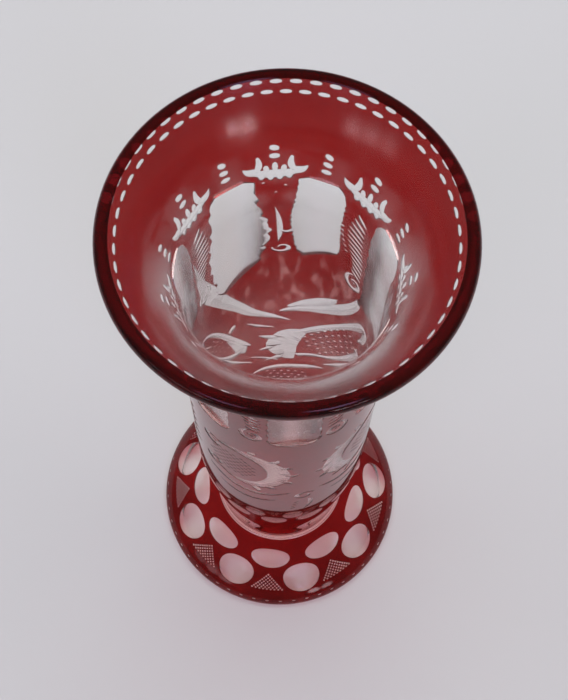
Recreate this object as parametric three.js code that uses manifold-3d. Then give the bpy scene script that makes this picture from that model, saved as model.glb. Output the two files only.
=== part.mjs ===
// A tall flared vase of clear glass on a domed foot. A ruby layer lies over the outside of the bowl and
// over the top of the foot, and wheel cuts go through it into the clear glass. Millimetres, +Z up, the
// origin on the table under the vase's axis, the front towards -Y.
import * as THREE from "three";
import { mergeVertices } from "three/addons/utils/BufferGeometryUtils.js";
import Module from "manifold-3d";

const wasm = await Module();
wasm.setup();

// Clearances
const SEAT_GAP = 0.3; // between two pieces that rest on each other
const LAYER_GAP = 0.3; // between the clear glass and the ruby layer over it

// Ruby layer
const RUBY_THICKNESS = 0.5;

// Foot
const FOOT_RADIUS = 50.25;
const FOOT_HEIGHT = 22.6;
const FOOT_EDGE_HEIGHT = 2.6; // where the rounded edge is widest
const FOOT_SHOULDER_DROP = 13.2; // from the foot's top to the middle of its slope
const FOOT_SHOULDER_RADIUS = 45.2;
const FOOT_RING_RADIUS = 47.6; // the outside of the flat ring that it stands on
const FOOT_RING_WIDTH = 3.6;
const FOOT_HOLLOW_HEIGHT = 16.0;

// Joint disc between foot and bowl
const JOINT_RADIUS = 26.2;
const JOINT_THICKNESS = 2.8;
const JOINT_EDGE_RADIUS = 1.3;

// Bowl
const WAIST_RADIUS = 25.4;
const BODY_RADIUS = 31.2;
const TAPER_HEIGHT = 71;
const BODY_HEIGHT = 118;
const FLARE_HEIGHT = 42;
const RIM_RADIUS = 48;
const FLARE_TILT = 48; // degrees between the flare and the upright at the lip
const FLARE_EASE = 17; // how gently the flare leaves the body
const FLARE_SWEEP = 15; // how gently it runs into the lip
const WALL = 3.4;
const LIP_THICKNESS = 4.6;
const FLOOR_THICKNESS = 12;
const FLOOR_CORNER = 14;

// Windows, ground flat into the sides of the bowl
const WINDOW_COUNT = 7;
const WINDOW_WIDTH = 17.4;
const WINDOW_HEIGHT = 51;
const WINDOW_SILL = 152; // from the bowl's base to the bottom of a window
const WINDOW_ARCH = 6; // how far the top of a window rises in the middle
const WINDOW_FIRST_ANGLE = 8.5;

// Cuts through the ruby layer
const DASH_COUNT = 54;
const DASH_LENGTH = 4.2;
const DASH_WIDTH = 1.7;
const DASH_DROP = 5.2; // from the lip's edge down the flare to the row of dashes
const LENS_COUNT = 9;
const LENS_LENGTH = 15.6;
const LENS_WIDTH = 12.4;
const LENS_RADIUS = 41.3; // of the circle on which the large foot cuts lie
const LENS_FIRST_ANGLE = 16;
const CRESCENT_LENGTH = 16.6;
const CRESCENT_WIDTH = 8.4;
const CRESCENT_RADIUS = 33.4; // of the circle on which the small foot cuts lie

// Fineness
const TURNS = 54; // facets round the axis
const CURVE_STEPS = 3;
const LIP_STEPS = 3;
const ARCH_STEPS = 8;
const JOINT_STEPS = 4;
const DASH_SIDES = 6;
const LENS_SIDES = 12;
const CUTTER_REACH = 3; // how far a cutter stands out on each side of the layer

const radians = THREE.MathUtils.degToRad;
const point = (radius, height) => new THREE.Vector2(radius, height);

// Heights of the stack, from the table up
const jointBase = FOOT_HEIGHT + SEAT_GAP;
const bowlBase = jointBase + JOINT_THICKNESS + SEAT_GAP;
const flareStart = bowlBase + TAPER_HEIGHT + BODY_HEIGHT;
const lipCentre = point(RIM_RADIUS - LIP_THICKNESS / 2, flareStart + FLARE_HEIGHT - LIP_THICKNESS / 2);

// The clear glass lies this far inside the outer face of the ruby layer.
const clearInset = RUBY_THICKNESS + LAYER_GAP;

function solidOf(geometry) {
  geometry.deleteAttribute("normal");
  geometry.deleteAttribute("uv");
  const merged = mergeVertices(geometry, 1e-4);
  const corners = Array.from(merged.index.array);
  const triangles = [];
  for (let i = 0; i < corners.length; i += 3) {
    const [a, b, c] = corners.slice(i, i + 3);
    if (a !== b && b !== c && c !== a) triangles.push(a, b, c);
  }
  return new wasm.Manifold(
    new wasm.Mesh({
      numProp: 3,
      vertProperties: new Float32Array(merged.attributes.position.array),
      triVerts: new Uint32Array(triangles),
    }),
  );
}

function meshOf(name, solid, material) {
  const { vertProperties, triVerts } = solid.getMesh();
  const geometry = new THREE.BufferGeometry();
  geometry.setAttribute("position", new THREE.BufferAttribute(vertProperties, 3));
  geometry.setIndex(new THREE.BufferAttribute(triVerts, 1));
  geometry.computeVertexNormals();
  const mesh = new THREE.Mesh(geometry, material);
  mesh.name = name;
  return mesh;
}

// A closed profile of radius and height, turned about the upright axis. Angles start at the front.
function turned(profile) {
  const outline = profile.map((p) => point(Math.max(p.x, 0), p.y));
  if (outline[0].x > 0) outline.push(outline[0].clone());
  return solidOf(new THREE.LatheGeometry(outline, TURNS).rotateX(Math.PI / 2));
}

function cutAway(solid, cutters) {
  return cutters.reduce((rest, cutter) => rest.subtract(cutter), solid);
}

// The left-hand side of a direction, for a line that runs up the outside: this points inwards.
function inwards(tangent) {
  return point(-tangent.y, tangent.x).normalize();
}

function along(curve, steps, inset, growth = 0) {
  const points = [];
  for (let i = 0; i <= steps; i += 1) {
    const t = i / steps;
    const depth = inset + growth * t * t;
    points.push(curve.getPoint(t).addScaledVector(inwards(curve.getTangent(t)), depth));
  }
  return points;
}

function arc(centre, radius, from, to, steps) {
  const points = [];
  for (let i = 0; i <= steps; i += 1) {
    const angle = radians(from + ((to - from) * i) / steps);
    points.push(point(centre.x + radius * Math.cos(angle), centre.y + radius * Math.sin(angle)));
  }
  return points;
}

// Bowl: one outer line, from which the ruby layer and the clear wall are both set in.
const lipTangent = point(Math.sin(radians(FLARE_TILT)), Math.cos(radians(FLARE_TILT)));
const flareEnd = lipCentre.clone().addScaledVector(inwards(lipTangent), -LIP_THICKNESS / 2);
const taperTop = point(BODY_RADIUS, bowlBase + TAPER_HEIGHT);

const taperLine = new THREE.CubicBezierCurve(
  point(WAIST_RADIUS, bowlBase),
  point(WAIST_RADIUS, bowlBase + TAPER_HEIGHT / 4),
  point(BODY_RADIUS, taperTop.y - TAPER_HEIGHT / 2.5),
  taperTop,
);
const flareLine = new THREE.CubicBezierCurve(
  point(BODY_RADIUS, flareStart),
  point(BODY_RADIUS, flareStart + FLARE_EASE),
  flareEnd.clone().addScaledVector(lipTangent, -FLARE_SWEEP),
  flareEnd,
);

function bowlSide(inset) {
  return [...along(taperLine, CURVE_STEPS, inset), ...along(flareLine, 2 * CURVE_STEPS, inset)];
}

function rubyOfBowl() {
  const outer = [...bowlSide(0), ...arc(lipCentre, LIP_THICKNESS / 2, -FLARE_TILT, 90, LIP_STEPS).slice(1)];
  const innerRadius = LIP_THICKNESS / 2 - RUBY_THICKNESS;
  const inner = [
    ...bowlSide(RUBY_THICKNESS),
    ...arc(lipCentre, innerRadius, -FLARE_TILT, 90, LIP_STEPS).slice(1),
  ];
  const layer = turned([...outer, ...inner.reverse()]);
  return cutAway(layer, [...windowCutters(), ...dashCutters()]);
}

function clearBowl() {
  const lipRadius = LIP_THICKNESS / 2 - clearInset;
  const lip = arc(lipCentre, lipRadius, -FLARE_TILT, 180 - FLARE_TILT, 2 * LIP_STEPS).slice(1);
  const floorTop = bowlBase + FLOOR_THICKNESS;
  const wallTop = along(flareLine, CURVE_STEPS, WALL, LIP_THICKNESS - WALL).reverse();
  const wallFoot = taperLine.getPoint(1 / 2).addScaledVector(inwards(taperLine.getTangent(1 / 2)), WALL);
  const cornerRadius = WAIST_RADIUS - WALL - FLOOR_CORNER;
  const corner = new THREE.QuadraticBezierCurve(
    wallFoot,
    point(WAIST_RADIUS - WALL, floorTop),
    point(cornerRadius, floorTop),
  );
  const profile = [
    point(0, bowlBase),
    ...bowlSide(clearInset),
    ...lip,
    ...wallTop,
    point(BODY_RADIUS - WALL, taperTop.y),
    ...corner.getPoints(CURVE_STEPS),
    point(0, floorTop),
  ];
  return cutAway(turned(profile), windowCutters());
}

// Each window is one flat. It is as deep as its width needs, so that its sides run out on the surface.
function windowCutters() {
  const half = WINDOW_WIDTH / 2;
  const flat = Math.sqrt(BODY_RADIUS ** 2 - half ** 2);
  const outline = new THREE.Shape();
  outline.moveTo(-half, 0);
  outline.lineTo(half, 0);
  outline.absellipse(0, WINDOW_HEIGHT - WINDOW_ARCH, half, WINDOW_ARCH, 0, Math.PI);
  outline.closePath();
  const cutters = [];
  for (let i = 0; i < WINDOW_COUNT; i += 1) {
    const depth = RIM_RADIUS - flat;
    const block = new THREE.ExtrudeGeometry(outline, { depth, bevelEnabled: false, curveSegments: ARCH_STEPS });
    block.rotateX(Math.PI / 2).translate(0, -flat, bowlBase + WINDOW_SILL);
    block.rotateZ(radians(WINDOW_FIRST_ANGLE + (i * 360) / WINDOW_COUNT));
    cutters.push(solidOf(block));
  }
  return cutters;
}

function ovalOutline(length, width, sides, flatSide = 0) {
  const outline = [];
  for (let i = 0; i < sides; i += 1) {
    const angle = (2 * Math.PI * (i + 0.5)) / sides;
    const reach = Math.sin(angle) > 0 ? 1 - flatSide : 1;
    outline.push(point((length / 2) * Math.cos(angle), (width / 2) * Math.sin(angle) * reach));
  }
  return new THREE.Shape(outline);
}

// A straight-sided cutter through a layer at a point of its profile, square to it, turned to an angle.
function throughLayer(outline, place, tangent, angle) {
  const depth = 2 * CUTTER_REACH;
  const block = new THREE.ExtrudeGeometry(outline, { depth, bevelEnabled: false });
  block.translate(0, 0, -CUTTER_REACH).rotateX(Math.PI / 2);
  block.rotateX(Math.atan2(tangent.x, tangent.y));
  block.translate(0, -place.x, place.y).rotateZ(radians(angle));
  return solidOf(block);
}

function dashCutters() {
  const t = 1 - DASH_DROP / flareLine.getLength();
  const u = flareLine.getUtoTmapping(t);
  const outline = ovalOutline(DASH_LENGTH, DASH_WIDTH, DASH_SIDES);
  const cutters = [];
  for (let i = 0; i < DASH_COUNT; i += 1) {
    const angle = ((i + 0.5) * 360) / DASH_COUNT;
    cutters.push(throughLayer(outline, flareLine.getPoint(u), flareLine.getTangent(u), angle));
  }
  return cutters;
}

// Foot: its slope runs down from the joint to the rounded edge.
const footSlope = new THREE.CubicBezierCurve(
  point(FOOT_RADIUS, FOOT_EDGE_HEIGHT),
  point(FOOT_RADIUS, FOOT_EDGE_HEIGHT + FOOT_SHOULDER_DROP / 4),
  point(FOOT_SHOULDER_RADIUS, FOOT_HEIGHT - FOOT_SHOULDER_DROP),
  point(JOINT_RADIUS + SEAT_GAP, FOOT_HEIGHT),
);

function clearFoot() {
  const ringInner = FOOT_RING_RADIUS - FOOT_RING_WIDTH;
  const hollow = new THREE.QuadraticBezierCurve(
    point(0, FOOT_HOLLOW_HEIGHT),
    point(ringInner * 0.7, FOOT_HOLLOW_HEIGHT),
    point(ringInner, 0),
  );
  const slope = along(footSlope, 2 * CURVE_STEPS, clearInset);
  return turned([
    ...hollow.getPoints(CURVE_STEPS),
    point(FOOT_RING_RADIUS, 0),
    ...slope,
    point(JOINT_RADIUS, FOOT_HEIGHT),
    point(0, FOOT_HEIGHT),
  ]);
}

function footPlace(radius) {
  let best = 0;
  for (let t = 0; t <= 1; t += 0.01) {
    const error = Math.abs(footSlope.getPoint(t).x - radius);
    if (error < Math.abs(footSlope.getPoint(best).x - radius)) best = t;
  }
  return { place: footSlope.getPoint(best), tangent: footSlope.getTangent(best) };
}

function rubyOfFoot() {
  const outer = along(footSlope, 2 * CURVE_STEPS, 0);
  const inner = along(footSlope, 2 * CURVE_STEPS, RUBY_THICKNESS);
  const lens = ovalOutline(LENS_LENGTH, LENS_WIDTH, LENS_SIDES);
  const crescent = ovalOutline(CRESCENT_LENGTH, CRESCENT_WIDTH, LENS_SIDES, 0.5);
  const lensPlace = footPlace(LENS_RADIUS);
  const crescentPlace = footPlace(CRESCENT_RADIUS);
  const cutters = [];
  for (let i = 0; i < LENS_COUNT; i += 1) {
    const angle = LENS_FIRST_ANGLE + (i * 360) / LENS_COUNT;
    cutters.push(throughLayer(lens, lensPlace.place, lensPlace.tangent, angle));
    const between = angle + 180 / LENS_COUNT;
    cutters.push(throughLayer(crescent, crescentPlace.place, crescentPlace.tangent, between));
  }
  return cutAway(turned([...outer, ...inner.reverse()]), cutters);
}

function footJoint() {
  const middle = point(JOINT_RADIUS - JOINT_EDGE_RADIUS, jointBase + JOINT_THICKNESS / 2);
  return turned([
    point(0, jointBase),
    ...arc(middle, JOINT_EDGE_RADIUS, -90, 90, JOINT_STEPS).map((p) => {
      const rise = ((p.y - middle.y) / JOINT_EDGE_RADIUS) * (JOINT_THICKNESS / 2);
      return point(p.x, middle.y + rise);
    }),
    point(0, jointBase + JOINT_THICKNESS),
  ]);
}

const clearGlass = { color: 0xf2f0ee, roughness: 0.02, metalness: 0, transparent: true, opacity: 0.35 };
const rubyGlass = { color: 0x8a1620, roughness: 0.05, metalness: 0, transparent: true, opacity: 0.8 };

const vase = new THREE.Group();
vase.add(meshOf("clear_bowl", clearBowl(), new THREE.MeshStandardMaterial(clearGlass)));
vase.add(meshOf("ruby_bowl_layer", rubyOfBowl(), new THREE.MeshStandardMaterial(rubyGlass)));
vase.add(meshOf("foot_joint", footJoint(), new THREE.MeshStandardMaterial(clearGlass)));
vase.add(meshOf("clear_foot", clearFoot(), new THREE.MeshStandardMaterial(clearGlass)));
vase.add(meshOf("ruby_foot_layer", rubyOfFoot(), new THREE.MeshStandardMaterial(rubyGlass)));

export default vase;
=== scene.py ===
"""The looks of a footed vase of clear glass with a cut ruby layer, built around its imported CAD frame.

Every piece of glass is shaped flat first. A sheet lies in a plane whose x runs round the vase and whose y runs
along the piece's profile. The wheel cuts are taken out of it there, and then the sheet is wrapped round the
axis. Sizes are in millimetres until a mesh is finished, and in metres from then on.
"""
import logging
import math
from dataclasses import dataclass, field
from enum import Enum
from functools import partial
from typing import Callable

import bmesh
import bpy
import numpy as np
from bmesh.types import BMesh, BMVert
from bpy.types import Material, Mesh, Node, NodeSocket, NodeTree, Object, World
from mathutils import Matrix, Vector


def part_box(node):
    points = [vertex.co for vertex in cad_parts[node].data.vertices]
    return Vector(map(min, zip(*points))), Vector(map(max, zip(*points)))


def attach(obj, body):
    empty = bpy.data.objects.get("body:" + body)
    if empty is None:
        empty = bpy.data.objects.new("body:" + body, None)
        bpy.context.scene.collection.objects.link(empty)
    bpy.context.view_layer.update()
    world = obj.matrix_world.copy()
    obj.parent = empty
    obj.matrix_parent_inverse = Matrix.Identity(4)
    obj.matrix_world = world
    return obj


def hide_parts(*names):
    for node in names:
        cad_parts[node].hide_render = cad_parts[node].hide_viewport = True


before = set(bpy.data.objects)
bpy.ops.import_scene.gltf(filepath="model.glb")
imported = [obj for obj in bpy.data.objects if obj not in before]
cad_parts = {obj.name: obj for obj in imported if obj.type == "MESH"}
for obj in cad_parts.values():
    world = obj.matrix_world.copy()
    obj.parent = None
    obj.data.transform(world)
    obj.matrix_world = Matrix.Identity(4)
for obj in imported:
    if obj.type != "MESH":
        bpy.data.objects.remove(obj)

log = logging.getLogger("vase")
MM = 0.001
PHOTO_HEIGHT = 700  # pixels

Point = tuple[float, float]
Colour = tuple[float, float, float]
Path = Callable[[float], Point]
Width = Callable[[float], float]


class Cut(Enum):
    """What a face of a glass sheet is. The value is its material index until the piece is dressed."""

    SKIN = 0
    BOND = 1
    POLISHED = 2
    ENGRAVED = 3
    WASTE = 4


def link_object(name: str, data: bpy.types.ID) -> Object:
    """Makes an object and links it to the scene.

    Args:
        name: of the object.
        data: mesh, lamp or camera that it shows.

    Returns:
        The object.
    """
    made = bpy.data.objects.new(name, data)
    bpy.context.scene.collection.objects.link(made)
    return made


def make_object(bm: BMesh, name: str) -> Object:
    """Turns a bmesh into an object in the scene.

    Args:
        bm: the bmesh, which is freed.
        name: of the object and of its mesh.

    Returns:
        The object.
    """
    mesh = bpy.data.meshes.new(name)
    bm.to_mesh(mesh)
    bm.free()
    return link_object(name, mesh)


def discard(thing: Object) -> None:
    """Removes a helper object and its mesh.

    Args:
        thing: the helper object.
    """
    mesh = thing.data
    bpy.data.objects.remove(thing)
    bpy.data.meshes.remove(mesh)


def read(things: bpy.types.bpy_prop_collection, name: str, width: int = 1, kind: type = np.float32) -> np.ndarray:
    """Reads one property of every item in a mesh's collection.

    Args:
        things: the collection.
        name: of the property.
        width: how many numbers an item has.
        kind: of number.

    Returns:
        The numbers, with a row for each item if it has several.
    """
    found = np.zeros(len(things) * width, kind)
    things.foreach_get(name, found)
    return found.reshape(-1, width) if width > 1 else found


def turned(radius: np.ndarray, azimuth: np.ndarray, height: np.ndarray) -> np.ndarray:
    """Rows of x, y and z for radii, azimuths in radians, and heights."""
    return np.stack([radius * np.sin(azimuth), -radius * np.cos(azimuth), height], 1)


class Profile:
    """A line of radius and height that a piece is turned from, with its outside on the right-hand side."""

    FINE = 12  # steps of the line along one row of faces

    def __init__(self, start: Point) -> None:
        """Starts the line.

        Args:
            start: its first point.
        """
        self.points = [start]
        self.rows = [0]
        self.kinds: list[Cut] = []

    def run(self, dense: list[Point], rows: int, kind: Cut = Cut.SKIN) -> "Profile":
        """Adds a run of points.

        Args:
            dense: the points, of which the line has the first.
            rows: how many rows of faces lie along them.
            kind: what those faces are.

        Returns:
            The profile.
        """
        first = len(self.points) - 1
        self.points.extend(dense[1:])
        self.rows.extend(first + self.FINE * (i + 1) for i in range(rows))
        self.kinds.extend([kind] * rows)
        return self

    def curve(self, controls: list[Point], rows: int, kind: Cut = Cut.SKIN) -> "Profile":
        """Adds a Bezier curve from the line's end.

        Args:
            controls: its control points after the first.
            rows: how many rows of faces lie along it.
            kind: what those faces are.

        Returns:
            The profile.
        """
        t = np.linspace(0, 1, rows * self.FINE + 1)[:, None]
        run = [np.array([p]) for p in [self.points[-1], *controls]]
        while len(run) > 1:
            run = [a * (1 - t) + b * t for a, b in zip(run, run[1:])]
        return self.run([tuple(p) for p in run[0]], rows, kind)

    def line(self, end: Point, rows: int = 1, kind: Cut = Cut.SKIN) -> "Profile":
        """Adds a straight run to a point."""
        return self.curve([end], rows, kind)

    def arc(self, centre: Point, radius: float, angles: Point, rows: int, kind: Cut = Cut.SKIN) -> "Profile":
        """Adds an arc of a circle.

        Args:
            centre: radius and height of its centre.
            radius: of the circle.
            angles: where it starts and ends, in degrees from straight outwards.
            rows: how many rows of faces lie along it.
            kind: what those faces are.

        Returns:
            The profile.
        """
        turn = np.radians(np.linspace(*angles, rows * self.FINE + 1))
        dense = [(centre[0] + radius * math.cos(a), centre[1] + radius * math.sin(a)) for a in turn]
        return self.run(dense, rows, kind)

    def finish(self) -> "Profile":
        """Works out lengths and outward normals along the line.

        Returns:
            The profile.
        """
        self.line_points = np.array(self.points)
        step = np.diff(self.line_points, axis=0)
        self.length = np.concatenate([[0], np.cumsum(np.hypot(*step.T))])
        tangent = np.gradient(self.line_points, self.length, axis=0)
        tangent /= np.linalg.norm(tangent, axis=1)[:, None]
        self.normals = np.stack([tangent[:, 1], -tangent[:, 0]], 1)
        self.stations = self.length[self.rows]
        return self

    def at(self, station: np.ndarray) -> tuple[np.ndarray, np.ndarray]:
        """Finds the line's points and outward normals.

        Args:
            station: the lengths along it.

        Returns:
            Points and normals, each a row of radius and height.
        """
        both = np.concatenate([self.line_points, self.normals], 1)
        found = np.stack([np.interp(station, self.length, column) for column in both.T], -1)
        return found[..., :2], found[..., 2:]

    def station_of(self, height: float | np.ndarray) -> float | np.ndarray:
        """Finds where the line's rising part reaches a height.

        Args:
            height: the height, or several.

        Returns:
            The length along the line, or one for each height.
        """
        heights = self.line_points[:, 1]
        top = int(np.argmax(heights)) + 1
        low = top - 1 - int(np.argmin(heights[:top][::-1]))
        return np.interp(height, heights[low:top], self.length[low:top])


def straight(start: Point, end: Point, bow: float) -> Path:
    """A path between two points that bows to its left by a length.

    Args:
        start: its first point.
        end: its last point.
        bow: how far its middle stands off.

    Returns:
        The path.
    """
    run = Vector(end) - Vector(start)
    side = Vector((-run.y, run.x)).normalized()
    return lambda t: tuple(Vector(start) + run * t + side * (bow * 4 * t * (1 - t)))


def spiral(centre: Point, radii: Point, start: float, sweep: float, tall: float) -> Path:
    """A path that winds about a centre.

    Args:
        centre: of the spiral.
        radii: at its start and its end.
        start: angle at its start, in degrees from +x.
        sweep: how far it turns, in degrees, anticlockwise.
        tall: how much taller it is than wide.

    Returns:
        The path.
    """

    def path(t: float) -> Point:
        """Finds a point of the spiral.

        Args:
            t: share of the way.

        Returns:
            The point.
        """
        angle = math.radians(start + sweep * t)
        radius = radii[0] * (1 - t) + radii[1] * t
        return centre[0] + radius * math.cos(angle), centre[1] + radius * math.sin(angle) * tall

    return path


def through(points: list[Point]) -> Path:
    """A smooth path through a row of points.

    Args:
        points: the points.

    Returns:
        The path.
    """
    spots = [Vector(point) for point in (points[0], *points, points[-1])]

    def path(t: float) -> Point:
        """Finds a point of the line.

        Args:
            t: share of the way.

        Returns:
            The point.
        """
        place = min(max(t, 0), 1) * (len(points) - 1)
        i = min(int(place), len(points) - 2)
        u = place - i
        before, start, end, after = spots[i:i + 4]
        bend = (2 * before - 5 * start + 4 * end - after) * u * u + (3 * start - before - 3 * end + after) * u ** 3
        return tuple(start + 0.5 * ((end - before) * u + bend))

    return path


def swelling(widths: list[float]) -> Width:
    """A width that goes through a row of values."""
    return lambda t: float(np.interp(t, np.linspace(0, 1, len(widths)), widths))


def tapered(widest: float, least: float, peak: float = 0.5) -> Width:
    """A width that swells and narrows again.

    Args:
        widest: the width at its peak.
        least: the width at both ends.
        peak: share of the way where it is widest.

    Returns:
        The width.
    """

    def width(t: float) -> float:
        """The width at a share of the way."""
        reach = t / peak if t < peak else (1 - t) / (1 - peak)
        return least + (widest - least) * math.sin(0.5 * math.pi * min(max(reach, 0), 1))

    return width


@dataclass
class CutGroup:
    """Wheel cuts that don't overlap, in a motif's own plane: x along the vase's round, y up, z out of the glass."""

    kind: Cut = Cut.ENGRAVED
    clearance: float = 0.8
    mesh: BMesh = field(default_factory=bmesh.new)

    def _grid(self, columns: int, rows: int) -> list[BMVert]:
        """Adds the grid that a cut's floor is made of."""
        return bmesh.ops.create_grid(self.mesh, x_segments=columns, y_segments=rows, size=0.5)["verts"]

    def _raise(self, verts: list[BMVert]) -> None:
        """Closes a cut's floor upwards into a solid that stands clear of the glass.

        Args:
            verts: of the floor.
        """
        faces = list({f for v in verts for f in v.link_faces})
        for v in bmesh.ops.extrude_face_region(self.mesh, geom=faces)["geom"]:
            if isinstance(v, BMVert):
                v.co.z = self.clearance

    def ribbon(self, path: Path, width: Width, steps: int, depth: float = 0.23, edge: float = 0.15) -> None:
        """Cuts one stroke of the wheel along a path, deepest in its middle.

        Args:
            path: its centre line.
            width: across it.
            steps: how many faces long it is.
            depth: of its middle.
            edge: depth of its sides.
        """
        verts = self._grid(steps, 2)
        for v in verts:
            t = min(max(v.co.x + 0.5, 0), 1)
            here = Vector(path(t))
            run = (Vector(path(min(t + 0.02, 1))) - Vector(path(max(t - 0.02, 0)))).normalized()
            across = v.co.y * 2
            spot = here + Vector((-run.y, run.x)) * (across * width(t) / 2)
            v.co = (spot.x, spot.y, -edge - (depth - edge) * (1 - across * across))
        self._raise(verts)

    def stroke(self, start: Point, end: Point, bow: float, width: tuple[float, ...], steps: int) -> None:
        """Cuts one stroke from point to point, which bows to its left, with the values of a tapered width."""
        self.ribbon(straight(start, end, bow), tapered(*width), steps)

    def curl(self, turns: tuple, width: tuple[float, ...], steps: int) -> None:
        """Cuts one stroke along a spiral, with the values of the spiral and of a tapered width."""
        self.ribbon(spiral(*turns), tapered(*width), steps)

    def sweep(self, points: list[Point], widths: list[float], steps: int) -> None:
        """Cuts one stroke through a row of points, with a row of widths."""
        self.ribbon(through(points), swelling(widths), steps)

    def dot(self, centre: Point, size: Point, depth: float = 0.26, turn: float = 0.0, fine: int = 8) -> None:
        """Cuts one round touch of the wheel.

        Args:
            centre: of the touch.
            size: its width and height before it is turned.
            depth: of its middle.
            turn: in degrees, anticlockwise.
            fine: faces round it.
        """
        verts = bmesh.ops.create_uvsphere(self.mesh, u_segments=fine, v_segments=max(fine // 2, 4), radius=1)["verts"]
        place = Matrix.Translation((*centre, 0)) @ Matrix.Rotation(math.radians(turn), 4, "Z")
        stretch = Matrix.Diagonal((size[0] / 2, size[1] / 2, depth, 1))
        bmesh.ops.transform(self.mesh, matrix=place @ stretch, verts=verts)

    def panel(self, sides: tuple[Width, Width], ends: Point, depth: Width, faces: tuple[int, int],
              slant: float = 0.0) -> None:
        """Cuts one flat, whose sides follow a width over its height.

        Args:
            sides: how far it goes to each side at a share of its height.
            ends: its bottom and top.
            depth: at a distance from its middle line.
            faces: how many lie across it and up it.
            slant: how much lower the bottom ends on one side than on the other.
        """
        low, high = ends
        verts = self._grid(*faces)
        for v in verts:
            t = min(max(v.co.y + 0.5, 0), 1)
            x = 2 * v.co.x * sides[v.co.x > 0](t)
            v.co = (x, low + (high - low) * t - slant * v.co.x * (1 - t) ** 2, -depth(x))
        self._raise(verts)


@dataclass
class Placed:
    """A group of cuts and where it goes round a sheet."""

    group: CutGroup
    azimuths: list[float]
    height: float | None = None
    mirrored: tuple[int, ...] = ()


@dataclass(frozen=True)
class Flats:
    """Where polished cuts are ground flat: their azimuths, how far they reach to a side, and above what height."""

    centres: list[float]
    reaches: list[float]
    above: float


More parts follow.
